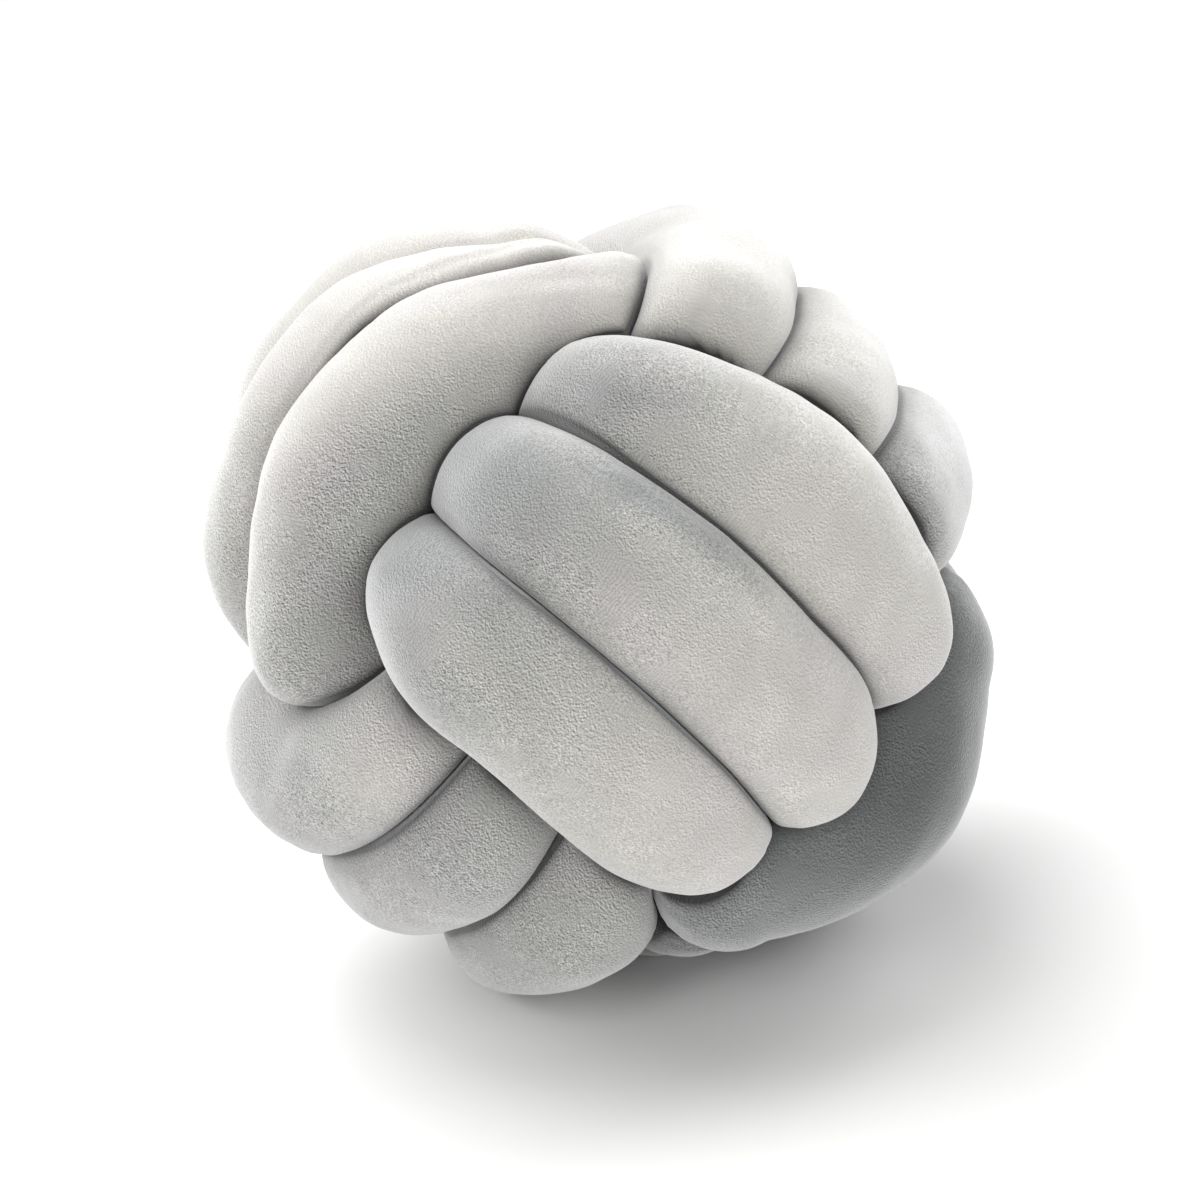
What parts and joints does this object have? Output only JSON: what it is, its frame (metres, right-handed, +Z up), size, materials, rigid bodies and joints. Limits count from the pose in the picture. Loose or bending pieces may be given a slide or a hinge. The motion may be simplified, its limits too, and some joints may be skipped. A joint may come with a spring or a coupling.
{
  "type": "knot cushion",
  "caption": "Round decorative knot cushion: a stuffed short-pile plush tube wound and tied as a ball, resting on a small flat spot.",
  "frame": {"origin": "on the surface the cushion rests on, under the middle of its bounding box", "axes": "+Z up from the resting flat, -Y towards the viewer of the front face of three parallel turns, +X to the viewer's right"},
  "size_m": [0.2719, 0.2801, 0.2614],
  "materials": {
    "plush": "short-pile plush, matt, soft sheen at grazing angles"
  },
  "bodies": {
    "root": {"knot_cushion": "plush"}
  },
  "joints": []
}
